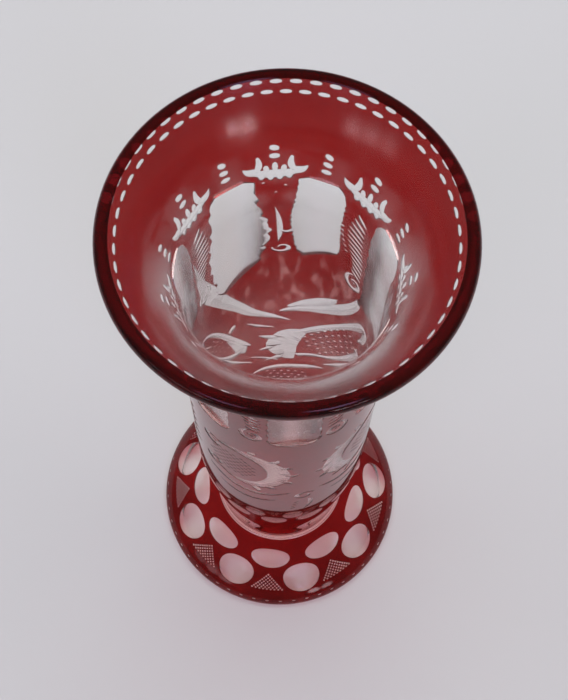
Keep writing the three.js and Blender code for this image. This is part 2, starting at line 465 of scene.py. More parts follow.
class Sheet:
    """A slab in the plane of a profile that is cut there and then wrapped round the axis."""

    # How well a face's normal has to agree with the round, the flat or the profile to be shaded like it.
    ROUND_LEAN, FLAT_LEAN, FLOOR_LEAN = 0.7, 0.9, 0.5
    WELD, SLIVER = 0.004 * MM, 0.001 * MM

    def __init__(self, profile: Profile, radius: float, columns: int, flats: Flats | None = None) -> None:
        """Holds what the sheet is wrapped on.

        Args:
            profile: that it follows.
            radius: at which the plane's x is true to size.
            columns: faces round the axis.
            flats: where its polished cuts are flat, if any are.
        """
        self.profile, self.radius, self.columns, self.flats = profile, radius, columns, flats
        self.half = math.pi * radius

    def _helper(self, bm: BMesh, name: str) -> Object:
        """Makes a helper object that has a slot for each kind of face.

        Args:
            bm: its mesh, which is used up.
            name: of the object.

        Returns:
            The object.
        """
        made = make_object(bm, name)
        for _ in Cut:
            made.data.materials.append(None)
        return made

    def slab(self, top: float, under: float, ends: Cut, beneath: Cut) -> Object:
        """Makes the uncut slab.

        Args:
            top: depth of its upper face below the profile.
            under: depth of its lower face.
            ends: what its two end faces are.
            beneath: what its lower face is.

        Returns:
            A helper object.
        """
        bm = bmesh.new()
        rows = len(self.profile.kinds)
        for v in bmesh.ops.create_grid(bm, x_segments=self.columns, y_segments=rows, size=0.5)["verts"]:
            row = round((v.co.y + 0.5) * rows)
            v.co = (v.co.x * 2 * self.half, self.profile.stations[row], -under)
        for v in bmesh.ops.extrude_face_region(bm, geom=bm.faces[:])["geom"]:
            if isinstance(v, BMVert):
                v.co.z = -top
        bm.normal_update()
        for f in bm.faces:
            if f.normal.z > 0.5:
                row = int(np.searchsorted(self.profile.stations, f.calc_center_median().y)) - 1
                kind = self.profile.kinds[min(max(row, 0), rows - 1)]
            elif f.normal.z < -0.5:
                kind = beneath
            else:
                kind = ends if abs(f.normal.y) > 0.5 else Cut.WASTE
            f.material_index = kind.value
        return self._helper(bm, "slab")

    def cutter(self, placed: Placed) -> Object:
        """Lays a group of cuts out in the plane, wound on past the seam on both sides.

        Args:
            placed: the group and its places.

        Returns:
            A helper object.
        """
        motif = bpy.data.meshes.new("motif")
        placed.group.mesh.to_mesh(motif)
        bm = bmesh.new()
        reach = max((abs(v.co.x) for v in placed.group.mesh.verts), default=0) * 1.8
        spots = [(azimuth + turn, -1 if i in placed.mirrored else 1)
                 for i, azimuth in enumerate(placed.azimuths) for turn in (-360, 0, 360)]
        for azimuth, side in spots:
            centre = math.radians(azimuth) * self.radius
            if abs(centre) - reach > self.half:
                continue
            vert_count, face_count = len(bm.verts), len(bm.faces)
            bm.from_mesh(motif)
            bm.verts.ensure_lookup_table()
            bm.faces.ensure_lookup_table()
            fresh = bm.verts[vert_count:]
            stations = np.array([v.co.y for v in fresh])
            if placed.height is None:
                stations = self.profile.station_of(stations)
            else:
                stations = stations + self.profile.station_of(placed.height)
            radii = self.profile.at(stations)[0][:, 0]
            for v, station, radius in zip(fresh, stations, radii):
                v.co.x = centre + side * v.co.x * self.radius / radius
                v.co.y = station
            if side < 0:
                bmesh.ops.reverse_faces(bm, faces=bm.faces[face_count:])
        for f in bm.faces:
            f.material_index = placed.group.kind.value
        bpy.data.meshes.remove(motif)
        return self._helper(bm, "cutter")

    def cut(self, slab: Object, cutters: list[Object]) -> Mesh:
        """Takes the cutters out of a slab.

        Args:
            slab: what they cut, which is used up.
            cutters: the cutters, which stay.

        Returns:
            The cut slab's mesh.
        """
        for cutter in cutters:
            step = slab.modifiers.new("wheel cut", "BOOLEAN")
            step.operation, step.solver, step.object = "DIFFERENCE", "MANIFOLD", cutter
        graph = bpy.context.evaluated_depsgraph_get()
        mesh = bpy.data.meshes.new_from_object(slab.evaluated_get(graph))
        discard(slab)
        return mesh

    def wrap(self, mesh: Mesh, name: str) -> Object:
        """Wraps a cut mesh round the axis and closes its seam.

        Args:
            mesh: the cut slab in the plane, which is used up.
            name: of the piece.

        Returns:
            The piece, in metres.
        """
        bm = bmesh.new()
        bm.from_mesh(mesh)
        bpy.data.meshes.remove(mesh)
        waste = [f for f in bm.faces if f.material_index == Cut.WASTE.value]
        bmesh.ops.delete(bm, geom=waste, context="FACES")
        bmesh.ops.triangulate(bm, faces=[f for f in bm.faces if len(f.verts) > 4])
        co = np.array([v.co for v in bm.verts])
        azimuth = co[:, 0] / self.radius
        spots, normals = self.profile.at(co[:, 1])
        spots = spots + normals * co[:, 2:3]
        wrapped = turned(np.maximum(spots[:, 0], 0), azimuth, spots[:, 1]) * MM
        facing = bm.verts.layers.float_vector.new("facing")
        turn = bm.verts.layers.float.new("azimuth")
        for v, spot, normal, a in zip(bm.verts, wrapped, turned(normals[:, 0], azimuth, normals[:, 1]), azimuth):
            v.co, v[facing], v[turn] = spot, normal, a
        bmesh.ops.remove_doubles(bm, verts=bm.verts[:], dist=self.WELD)
        bmesh.ops.dissolve_degenerate(bm, edges=bm.edges[:], dist=self.SLIVER)
        bmesh.ops.triangulate(bm, faces=[f for f in bm.faces if len(f.verts) > 4])
        made = make_object(bm, name)
        self._face_normals(made.data)
        return made

    def _face_normals(self, mesh: Mesh) -> None:
        """Sets the normals: the profile's own on the skin, one a flat on the flats, and soft ones in the hollows.

        Args:
            mesh: of the wrapped piece.
        """
        mesh.shade_smooth()
        corner = read(mesh.loops, "vertex_index", kind=np.int32)
        owner = np.repeat(np.arange(len(mesh.polygons)), read(mesh.polygons, "loop_total", kind=np.int32))
        kind = read(mesh.polygons, "material_index", kind=np.int32)[owner]
        face = read(mesh.polygons, "normal", 3)[owner]
        skin = read(mesh.attributes["facing"].data, "vector", 3)[corner]
        turn = read(mesh.attributes["azimuth"].data, "value")[corner]
        lean = np.sum(skin * face, 1)
        normal = face.copy()
        smooth = ((kind == Cut.SKIN.value) | (kind == Cut.BOND.value)) & (np.abs(lean) > self.ROUND_LEAN)
        normal[smooth] = skin[smooth] * np.sign(lean[smooth])[:, None]
        hollow = kind == Cut.POLISHED.value
        if self.flats:
            centres = np.radians(self.flats.centres)
            apart = np.abs((turn[:, None] - centres[None] + math.pi) % (2 * math.pi) - math.pi)
            which = np.argmin(apart, 1)
            level = turned(np.hypot(skin[:, 0], skin[:, 1]), centres[which], skin[:, 2])
            high = read(mesh.vertices, "co", 3)[corner, 2] > self.flats.above * MM
            near = np.min(apart, 1) < np.radians(self.flats.reaches)[which]
            on_flat = hollow & high & near & (np.sum(level * face, 1) > self.FLAT_LEAN)
            normal[on_flat] = level[on_flat]
        else:
            total = np.zeros((len(mesh.vertices), 3))
            floor = hollow & (lean > self.FLOOR_LEAN)
            areas = read(mesh.polygons, "area")[owner[floor]]
            np.add.at(total, corner[floor], face[floor] * areas[:, None])
            total /= np.maximum(np.linalg.norm(total, axis=1), 1e-12)[:, None]
            normal[floor] = total[corner[floor]]
        mesh.normals_split_custom_set([Vector(n) for n in normal])
        for name in ("facing", "azimuth"):
            mesh.attributes.remove(mesh.attributes[name])


def socket_group(name: str, inputs: dict[str, float | tuple], outputs: dict[str, str]) -> tuple:
    """Starts a node group with named sockets.

    Args:
        name: of the group.
        inputs: each input's name and its value at first.
        outputs: each output's name and its kind of socket.

    Returns:
        The group and the sockets of its input node.
    """
    tree = bpy.data.node_groups.new(name, "ShaderNodeTree")
    for label, value in inputs.items():
        kind = "NodeSocketFloat" if isinstance(value, float) else "NodeSocketColor"
        tree.interface.new_socket(label, in_out="INPUT", socket_type=kind).default_value = value
    for label, kind in outputs.items():
        tree.interface.new_socket(label, in_out="OUTPUT", socket_type=kind)
    return tree, tree.nodes.new("NodeGroupInput").outputs


def add_node(tree: NodeTree, kind: str, values: dict | None = None, **settings) -> Node:
    """Adds a node.

    Args:
        tree: that it is added to.
        kind: of node.
        values: for an input, by name or number, its value or the socket that it is linked from.
        settings: the node's own settings.

    Returns:
        The node.
    """
    node = tree.nodes.new(kind)
    for key, value in settings.items():
        setattr(node, key, value)
    for key, value in (values or {}).items():
        if isinstance(value, NodeSocket):
            tree.links.new(value, node.inputs[key])
        else:
            node.inputs[key].default_value = value
    return node


def arithmetic(tree: NodeTree, operation: str, *values: float | NodeSocket) -> NodeSocket:
    """The outcome of one step of arithmetic."""
    return add_node(tree, "ShaderNodeMath", dict(enumerate(values)), operation=operation).outputs[0]


def blend(tree: NodeTree, share: NodeSocket, first: NodeSocket | tuple, second: NodeSocket | tuple) -> NodeSocket:
    """A colour between two, at a share of the way."""
    return add_node(tree, "ShaderNodeMix", {"Factor": share, 6: first, 7: second}, data_type="RGBA").outputs[2]


def ramp(tree: NodeTree, value: NodeSocket, low: float, high: float, ends: tuple = (0.0, 1.0),
         kind: str = "LINEAR") -> NodeSocket:
    """Maps a value to a range.

    Args:
        tree: that the node is added to.
        value: to be mapped.
        low: the value that gives the range's start.
        high: the value that gives its end.
        ends: the range's start and end.
        kind: how it goes from one to the other.

    Returns:
        The mapped value.
    """
    values = {"Value": value, "From Min": low, "From Max": high, "To Min": ends[0], "To Max": ends[1]}
    return add_node(tree, "ShaderNodeMapRange", values, interpolation_type=kind).outputs["Result"]


def in_object(tree: NodeTree) -> NodeSocket:
    """The place on the object."""
    return add_node(tree, "ShaderNodeTexCoord").outputs["Object"]


def noise(tree: NodeTree, scale: float | Colour, detail: float, turn: Colour = (0.0, 0.0, 0.0)) -> NodeSocket:
    """Noise in object space.

    Args:
        tree: that the nodes are added to.
        scale: how fine it is, or how fine along each axis.
        detail: how many finer layers it has.
        turn: of the axes, in radians.

    Returns:
        The noise, about 0.5.
    """
    where = in_object(tree)
    if isinstance(scale, tuple):
        stretched = {"Vector": where, "Scale": scale, "Rotation": turn}
        where, scale = add_node(tree, "ShaderNodeMapping", stretched).outputs["Vector"], 1.0
    return add_node(tree, "ShaderNodeTexNoise", {"Vector": where, "Scale": scale, "Detail": detail}).outputs["Fac"]


def surface_marks() -> NodeTree:
    """Makes the group for the slow waviness of blown glass, with fine wiping scratches and smears.

    Returns:
        The group.
    """
    tree, given = socket_group(
        "surface_marks",
        {"Waviness": 0.2, "Scratches": 0.3, "Least Roughness": 0.01, "Most Roughness": 0.08},
        {"Height": "NodeSocketFloat", "Roughness": "NodeSocketFloat"},
    )
    wave = arithmetic(tree, "MULTIPLY", noise(tree, 38.0, 1.0), given["Waviness"])
    streaks = arithmetic(tree, "MULTIPLY", noise(tree, (900.0, 900.0, 60.0), 3.0, (0.35, 0.2, 0.0)), 0.02)
    ends = (given["Least Roughness"], given["Most Roughness"])
    add_node(tree, "NodeGroupOutput", {
        "Height": arithmetic(tree, "MULTIPLY_ADD", streaks, given["Scratches"], wave),
        "Roughness": ramp(tree, noise(tree, 75.0, 4.0), 0.5, 0.8, ends),
    })
    return tree


# Heights in metres between which the ruby deepens over the lip and down to the foot's edge.
LIP_FADE, FOOT_FADE = (0.2525, 0.2548), (0.022, 0.004)


def layer_density() -> NodeTree:
    """Makes the group for the depth of a flashed layer's colour, which is deepest over the lip and the foot's edge.

    Returns:
        The group.
    """
    tree, given = socket_group(
        "layer_density",
        {"Thin": (0.5, 0.04, 0.05, 1.0), "Thick": (0.3, 0.01, 0.015, 1.0), "Lip": (0.03, 0.001, 0.002, 1.0)},
        {"Color": "NodeSocketColor"},
    )
    clouds = arithmetic(tree, "ADD", noise(tree, 22.0, 3.0), noise(tree, (8.0, 8.0, 170.0), 2.0))
    even = blend(tree, ramp(tree, clouds, 0.75, 1.25), given["Thin"], given["Thick"])
    height = add_node(tree, "ShaderNodeSeparateXYZ", {"Vector": in_object(tree)}).outputs["Z"]
    lip = ramp(tree, height, *LIP_FADE, kind="SMOOTHSTEP")
    foot_edge = ramp(tree, height, *FOOT_FADE, (0.0, 0.55))
    edge = arithmetic(tree, "MAXIMUM", lip, foot_edge)
    add_node(tree, "NodeGroupOutput", {"Color": blend(tree, edge, even, given["Lip"])})
    return tree


def soft_patches() -> NodeTree:
    """Makes the group for soft rows of patches where the flashed layer is thin, on the plain field over the swag.

    Returns:
        The group.
    """
    tree, _ = socket_group("soft_patches", {}, {"Thinness": "NodeSocketFloat"})
    place = add_node(tree, "ShaderNodeSeparateXYZ", {"Vector": in_object(tree)}).outputs
    thinness = ramp(tree, noise(tree, (260.0, 260.0, 75.0), 1.0), 0.47, 0.74, kind="SMOOTHSTEP")
    for axis, none, full in (("Z", 0.136, 0.150), ("Z", 0.188, 0.176), ("Y", 0.012, 0.020)):
        thinness = arithmetic(tree, "MULTIPLY", thinness, ramp(tree, place[axis], none, full, kind="SMOOTHSTEP"))
    add_node(tree, "NodeGroupOutput", {"Thinness": thinness})
    return tree


@dataclass
class Effects:
    """The shared node groups, each made once."""

    marks: NodeTree = field(default_factory=surface_marks)
    density: NodeTree = field(default_factory=layer_density)
    patches: NodeTree = field(default_factory=soft_patches)


@dataclass(frozen=True)
class GlassFinish:
    """A polished glass. Its shadow tint is what each of its faces lets through to the lamps."""

    name: str
    tint: Colour
    shadow_tint: Colour
    waviness: float
    roughness: Point
    scratches: float = 0.3
    deep_tint: Colour | None = None
    patch_tint: Colour = (0.75, 0.36, 0.34)
    lip_tint: Colour = (0.16, 0.004, 0.006)
    mirror_tint: Colour = (0.45, 0.45, 0.45)
    bump: float = 0.00002

    def build(self, effects: Effects) -> Material:
        """Makes the material.

        Args:
            effects: the shared node groups.

        Returns:
            The material.
        """
        made = bpy.data.materials.new(self.name)
        made.use_nodes = True
        tree = made.node_tree
        tree.nodes.clear()
        marks = add_node(tree, "ShaderNodeGroup", {
            "Waviness": self.waviness, "Scratches": self.scratches,
            "Least Roughness": self.roughness[0], "Most Roughness": self.roughness[1],
        }, node_tree=effects.marks).outputs
        colour = (*self.tint, 1)
        if self.deep_tint:
            colour = add_node(tree, "ShaderNodeGroup", {
                "Thin": colour, "Thick": (*self.deep_tint, 1), "Lip": (*self.lip_tint, 1),
            }, node_tree=effects.density).outputs["Color"]
            patches = add_node(tree, "ShaderNodeGroup", node_tree=effects.patches)
            colour = blend(tree, patches.outputs["Thinness"], colour, (*self.patch_tint, 1))
        bump = add_node(tree, "ShaderNodeBump", {"Strength": 1.0, "Distance": self.bump, "Height": marks["Height"]})
        glass = add_node(tree, "ShaderNodeBsdfPrincipled", {
            "Base Color": colour, "Roughness": marks["Roughness"], "Metallic": 0.0, "IOR": 1.5,
            "Transmission Weight": 1.0, "Specular Tint": (*self.mirror_tint, 1),
            "Normal": bump.outputs["Normal"],
        })
        to_lamps = add_node(tree, "ShaderNodeBsdfTransparent", {"Color": (*self.shadow_tint, 1)})
        mix = add_node(tree, "ShaderNodeMixShader", {
            "Fac": add_node(tree, "ShaderNodeLightPath").outputs["Is Shadow Ray"],
            1: glass.outputs["BSDF"], 2: to_lamps.outputs["BSDF"],
        })
        add_node(tree, "ShaderNodeOutputMaterial", {"Surface": mix.outputs["Shader"]})
        return made


class Finishes:
    """Both glasses of the vase."""

    def __init__(self) -> None:
        """Makes the materials."""
        effects = Effects()
        self.clear = GlassFinish("clear_glass", (0.985, 0.985, 0.98), (0.96, 0.96, 0.955), 0.25,
                                 (0.14, 0.2)).build(effects)
        self.ruby = GlassFinish("ruby_glass", (0.40, 0.016, 0.015), (0.616, 0.118, 0.115), 0.2,
                                (0.0, 0.03), deep_tint=(0.34, 0.010, 0.010)).build(effects)


def dress(piece: Object, glass: Material, node: str) -> None:
    """Gives a finished piece its glass and its place in the frame, and reports it.

    Args:
        piece: the piece.
        glass: its material.
        node: the CAD node that it stands for.
    """
    piece.data.materials.clear()
    piece.data.materials.append(glass)
    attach(piece, "root")
    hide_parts(node)
    size = piece.dimensions / MM
    log.info("%s: %d faces, %.1f x %.1f x %.1f mm", piece.name, len(piece.data.polygons), *size)


def node_reach(node: str) -> tuple[float, float, float]:
    """Radius, lowest and highest point of a CAD node, in millimetres."""
    low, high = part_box(node)
    return high.x / MM, low.z / MM, high.z / MM


@dataclass
class BowlShape:
    """The outer line of the bowl, from the waist up to the lip."""

    base: float
    top: float
    rim_radius: float
    waist_radius: float = 25.4
    body_radius: float = 31.2
    taper_height: float = 71.0
    body_height: float = 118.0
    flare_tilt: float = 48.0
    flare_ease: float = 17.0
    flare_sweep: float = 15.0
    lip_thickness: float = 4.6
    wall: float = 3.4
    floor_thickness: float = 12.0
    floor_corner: float = 14.0
    lip_cover: float = 132.0
    taper_rows: int = 18
    body_rows: int = 44
    flare_rows: int = 24
    lip_rows: int = 12
    inner_rows: tuple[int, ...] = (30, 12, 10, 5)

    @property
    def flare_start(self) -> float:
        """Height at which the straight body ends."""
        return self.base + self.taper_height + self.body_height

    def side(self, profile: Profile, kind: Cut = Cut.SKIN) -> Profile:
        """Adds the side of the bowl and the coloured part of its lip to a profile that ends at the waist.

        Args:
            profile: that it is added to.
            kind: what its faces are.

        Returns:
            The profile.
        """
        radius, knee = self.body_radius, self.base + self.taper_height
        tilt, half = math.radians(self.flare_tilt), self.lip_thickness / 2
        run = (math.sin(tilt), math.cos(tilt))
        lip = (self.rim_radius - half, self.top - half)
        end = (lip[0] + half * run[1], lip[1] - half * run[0])
        before = (end[0] - self.flare_sweep * run[0], end[1] - self.flare_sweep * run[1])
        taper = [(self.waist_radius, self.base + self.taper_height / 4),
                 (radius, knee - self.taper_height / 2.5), (radius, knee)]
        profile.curve(taper, self.taper_rows, kind).line((radius, self.flare_start), self.body_rows, kind)
        profile.curve([(radius, self.flare_start + self.flare_ease), before, end], self.flare_rows, kind)
        return profile.arc(lip, half, (-self.flare_tilt, self.lip_cover), self.lip_rows, kind)

    def inside(self, profile: Profile) -> Profile:
        """Adds the rest of the lip, the inner wall and the floor to a profile that ends on the lip.

        Args:
            profile: that they are added to.

        Returns:
            The profile.
        """
        outer = self.side(Profile((self.waist_radius, self.base))).finish()
        low, high = outer.station_of(self.flare_start), outer.length[outer.rows[-self.lip_rows - 1]]
        stations = np.linspace(high, low, self.flare_rows * Profile.FINE + 1)
        spots, normals = outer.at(stations)
        thickness = self.wall + (self.lip_thickness - self.wall) * ((stations - low) / (high - low)) ** 2
        profile.run([tuple(p) for p in spots - normals * thickness[:, None]], self.flare_rows)
        radius, knee = self.body_radius - self.wall, self.base + self.taper_height
        foot_of_wall, floor, corner = self.waist_radius - self.wall, self.base + self.floor_thickness, self.floor_corner
        for rows, controls in zip(self.inner_rows, (
            [(radius, knee)],
            [(radius, knee - self.taper_height / 3), (foot_of_wall, floor + corner * 1.6),
             (foot_of_wall, floor + corner)],
            [(foot_of_wall, floor + corner / 3), (foot_of_wall - corner / 2, floor), (foot_of_wall - corner, floor)],
            [(0.0, floor)],
        )):
            profile.curve(controls, rows)
        return profile


@dataclass(frozen=True)
class WindowShape:
    """The outline of one window, in millimetres. A pair is for its two sides, towards the smaller azimuth first."""

    low: float = 176.0
    high: float = 229.2
    half: float = 8.4
    swell: Point = (0.0, 0.0)
    slant: float = 0.0
    arch: Point = (6.0, 6.0)
    corner: float = 4.0
    nibble: float = 0.3

    @property
    def ground_half(self) -> float:
        """Half the width that its flat is ground to, whose depth follows from it."""
        return self.half + 0.3 * max(self.swell)

    def reach(self, side: int, t: float) -> float:
        """Says how far a side is from the middle line.

        Args:
            side: 0 or 1.
            t: share of the height.

        Returns:
            The distance.
        """
        height = self.high - self.low
        from_top, from_foot = (1 - t) * height, t * height
        width = self.half + self.swell[side] * math.sin(math.pi * min(t * 1.15, 1)) ** 2
        if from_top < self.arch[side]:
            width *= math.sqrt(max(1 - (1 - from_top / self.arch[side]) ** 2, 0.02)) * 0.45 + 0.55
        if from_foot < self.corner:
            width *= 0.6 + 0.4 * math.sqrt(1 - (1 - from_foot / self.corner) ** 2)
        nibble = self.nibble * (math.sin(from_foot * 2.9 + side) + 0.65 * math.sin(from_foot * 5.3 + 1 + 2 * side))
        return width - 0.3 + nibble * min(from_top / max(self.arch), 1)


@dataclass
class BowlCuts:
    """The wheel cuts of the bowl: seven windows, and the leaves, scrolls and dashes about them."""

    shape: BowlShape
    first: float = 8.5
    windows: tuple[WindowShape, ...] = (
        WindowShape(), WindowShape(low=180), WindowShape(low=174, half=8.8),
        WindowShape(low=187.5, half=8.0, swell=(0.0, 1.6), slant=7, arch=(7.0, 1.6), corner=7.0, nibble=0.4),
        WindowShape(low=173, half=8.5, swell=(4.2, 2.2), slant=9, arch=(1.6, 7.0), nibble=0.55),
        WindowShape(low=180), WindowShape(low=176, half=8.0),
    )
    flats_above: float = 173.0
    least_depth: float = 0.3
    dash_count: int = 54
    dash_heights: Point = (250.5, 252.3)
    dash_size: Point = (3.9, 1.2)
    rib_count: int = 13
    scroll_pair: float = 17.5
    scroll_apart: float = 39.0
    scroll_height: float = 142.5
    spray_apart: float = 87.0
    festoon: float = 188.5

    @property
    def on_windows(self) -> list[float]:
        """Azimuths of the windows."""
        return [self.first + i * 360 / len(self.windows) for i in range(len(self.windows))]

    @property
    def gaps(self) -> list[float]:
        """Azimuths of the ruby between the windows."""
        return [azimuth + 180 / len(self.windows) for azimuth in self.on_windows]

    @property
    def flat_reaches(self) -> list[float]:
        """How far in degrees each window's flat goes to a side, with its edge."""
        return [math.degrees(shape.ground_half / self.shape.body_radius) + 2.0 for shape in self.windows]

    def _flat_depth(self, half: float) -> Width:
        """Depth of a flat of half a width at a distance from its middle line, never so little that the ruby stays."""
        radius = self.shape.body_radius
        return lambda x: max(radius * (1 - math.cos(half / radius) / math.cos(x / radius)), self.least_depth)

    def flats(self) -> list[Placed]:
        """Draws the windows, ground flat and polished.

        Returns:
            The windows with their places.
        """
        found = []
        for shape, azimuth in zip(self.windows, self.on_windows):
            group = CutGroup(Cut.POLISHED)
            sides = (partial(shape.reach, 0), partial(shape.reach, 1))
            depth = self._flat_depth(shape.ground_half)
            group.panel(sides, (shape.low, shape.high), depth, (12, 34), shape.slant)
            found.append(Placed(group, [azimuth]))
        return found

    def lip_dash(self) -> CutGroup:
        """Draws one of the dashes under the lip.

        Returns:
            The dash, as a group of its own.
        """
        group = CutGroup()
        group.dot((0, 0), self.dash_size, fine=12)
        return group

    def stack(self, dashes: int, first: float) -> CutGroup:
        """Draws a few short dashes above each other.

        Args:
            dashes: how many.
            first: height of the lowest.

        Returns:
            The dashes.
        """
        group = CutGroup()
        for i in range(dashes):
            half, height = 1.5 - 0.15 * i, first + i * 2.35
            group.stroke((-half, height - 0.2 * i), (half, height + 0.2 * i), 0, (1.7, 0.9), 5)
        return group

    def fringe(self) -> list[CutGroup]:
        """Draws the leafy fringe over a gap: petals on a thick band, between two forked leaves.

        Returns:
            Its groups of cuts.
        """
        band, petals, drops, prongs, points = (CutGroup() for _ in range(5))
        band.stroke((-7.0, 230.9), (7.0, 230.9), -1.2, (3.0, 1.5), 18)
        for i in range(-1, 2):
            petals.dot((i * 2.55, 232.0 - abs(i) * 0.5), (2.3, 4.4 - abs(i)), turn=-14 * i)
        for i in range(-2, 2):
            drops.dot((i * 2.7 + 1.35, 228.3 + 0.5 * abs(i + 0.5)), (2.5, 2.9))
        for side in (-1, 1):
            prongs.stroke((side * 5.9, 230.8), (side * 5.2, 235.7), side * 0.9, (2.1, 0.8, 0.35), 8)
            points.stroke((side * 5.0, 231.2), (side * 9.6, 233.1), side * -0.8, (2.6, 0.3, 0.25), 8)
        return [band, petals, drops, prongs, points]

    def fern(self) -> list[CutGroup]:
        """Draws the fern down a gap, which ends in a volute.

        Returns:
            Its groups of cuts.
        """
        ribs, tips, volute = (CutGroup() for _ in range(3))
        for i in range(self.rib_count):
            share = i / (self.rib_count - 1)
            height = 222.0 - 33.0 * share
            sway = 0.5 - 1.2 * math.sin(1.6 * math.pi * share)
            reach = 1.3 + 2.2 * math.sin(math.pi * min(0.12 + share, 1) * 0.85)
            ribs.stroke((sway - reach, height + 1.5), (sway + reach, height - 1.6), -0.5, (1.7, 0.4, 0.6), 6)
            if 3 < i < 10:
                tips.dot((sway - reach - 2.1, height + 2.0), (2.0, 1.0), turn=-35)
        volute.curl(((1.2, 182.6), (4.0, 1.1), 100, 430, 1.3), (2.1, 0.7, 0.35), 28)
        volute.dot((1.2, 182.6), (1.1, 1.3))
        return [ribs, tips, volute]

    def tendril(self) -> list[CutGroup]:
        """Draws the slighter tendril in the gap that faces the front window.

        Returns:
            Its groups of cuts.
        """
        stem, curls, specks = (CutGroup() for _ in range(3))
        stem.stroke((-0.2, 214.0), (1.0, 192.0), 1.0, (1.9, 0.3, 0.6), 14)
        curls.curl(((3.1, 203.5), (3.9, 2.2), 60, -250, 1.7), (1.6, 0.4, 0.5), 18)
        curls.curl(((2.2, 188.0), (3.4, 1.0), 170, 380, 0.9), (1.7, 0.5, 0.35), 22)
        for spot in ((-3.6, 226.6), (0.1, 222.0), (3.0, 225.0)):
            specks.dot(spot, (1.3, 0.9))
        return [stem, curls, specks]

    def shield(self) -> list[CutGroup]:
        """Draws a scrolled shield: a thick C with flames at its back, and a lattice within.

        Returns:
            Its groups of cuts.
        """
        found = scroll, curls, flames, lattice = [CutGroup() for _ in range(4)]
        scroll.curl(((0, 0), (14.0, 14.0), 58, 244, 1.22), (7.6, 1.4), 44)
        for side, start, sweep in ((1, 120, -400), (-1, 240, 400)):
            curls.curl(((9.4, side * 11.4), (4.1, 1.2), start, sweep, 1.05), (2.5, 0.8, 0.3), 26)
        for i in range(7):
            angle, odd = math.radians(180 + (i - 3) * 24), 1 if i % 2 else -1
            root = (15.8 * math.cos(angle), 19.0 * math.sin(angle))
            tip = (root[0] - 5.0 + 1.0 * abs(i - 3), root[1] + (i - 3) * -1.6 + odd)
            flames.stroke(root, tip, 0.9 * odd, (3.0, 0.3, 0.3), 7)
        for row in range(-6, 7):
            for column in range(-4, 5):
                spot = (2.6 + column * 2.7 + (row % 2) * 1.35, row * 1.9)
                if math.hypot((spot[0] - 2.4) / 8.4, spot[1] / 11.2) < 1:
                    lattice.dot(spot, (1.8, 0.95), turn=24, fine=6)
        for group in found:
            bmesh.ops.translate(group.mesh, vec=(2.0, self.scroll_height, 0), verts=group.mesh.verts[:])
        return found

    def swag(self) -> list[CutGroup]:
        """Draws the festoon at the back, seen from within: polished strokes that pass each other, and engraved ones.

        Returns:
            Its groups of cuts.
        """
        left, right, frosted = CutGroup(Cut.POLISHED), CutGroup(Cut.POLISHED), CutGroup()
        left.sweep([(-32.8, 212), (-30.5, 195), (-26.0, 178), (-19.5, 162), (-14, 151), (-8.5, 141), (-1, 134),
                    (6, 130)], [0.3, 3.6, 7.2, 5.6, 4.8, 4.4, 3.4, 0.5], 44)
        right.sweep([(34.5, 181), (32, 170), (28, 160.5), (22.5, 152), (16, 145.5), (9, 141.5), (2, 138)],
                    [0.3, 3.4, 4.8, 5.6, 5.6, 4.6, 1.6], 36)
        frosted.sweep([(5, 142), (12, 147), (18, 153), (23.5, 161)], [2.0, 6.0, 6.0, 0.6], 16)
        frosted.sweep([(-11, 133), (-6, 127), (0, 123.5)], [0.4, 2.2, 0.4], 10)
        return [left, right, frosted]

    def great_scroll(self) -> list[CutGroup]:
        """Draws the large scroll under the festoon, seen from within, laid over to the right, with a lattice in it.

        Returns:
            Its groups of cuts.
        """
        back, arms, flames, lattice = (CutGroup() for _ in range(4))
        back.sweep([(6.5, 92), (4, 99), (3, 108), (6, 116), (11, 121.5)], [3, 10, 13, 11, 4], 24)
        arms.sweep([(9, 119), (14, 125), (20, 133), (26, 142), (32, 152), (37, 160), (39.5, 160), (38.5, 152),
                    (36, 147)], [3.5, 3.6, 3.2, 2.8, 3.2, 4.2, 3.6, 2.6, 0.8], 44)
        arms.sweep([(9, 97), (15, 101), (22, 106.5), (28, 115), (33, 125), (37, 136), (34, 138.5)],
                   [3, 2.6, 2.2, 2.4, 3.0, 3.2, 0.8], 36)
        for root, tip in (((2, 113), (-6.5, 118)), ((0, 105), (-6.5, 104)), ((4, 96), (-4, 91.5))):
            flames.stroke(root, tip, 0.8, (3.6, 0.3, 0.3), 8)
        for i in range(8):
            for j in range(-2, 3):
                along = i * 5.0 + 2.5 * (j % 2)
                spot = (14.0 + along * 0.53 + j * 2.35, 109.5 + along * 0.85 - j * 1.5)
                lattice.dot(spot, (3.2, 1.25), turn=58, fine=6)
        return [back, arms, flames, lattice]

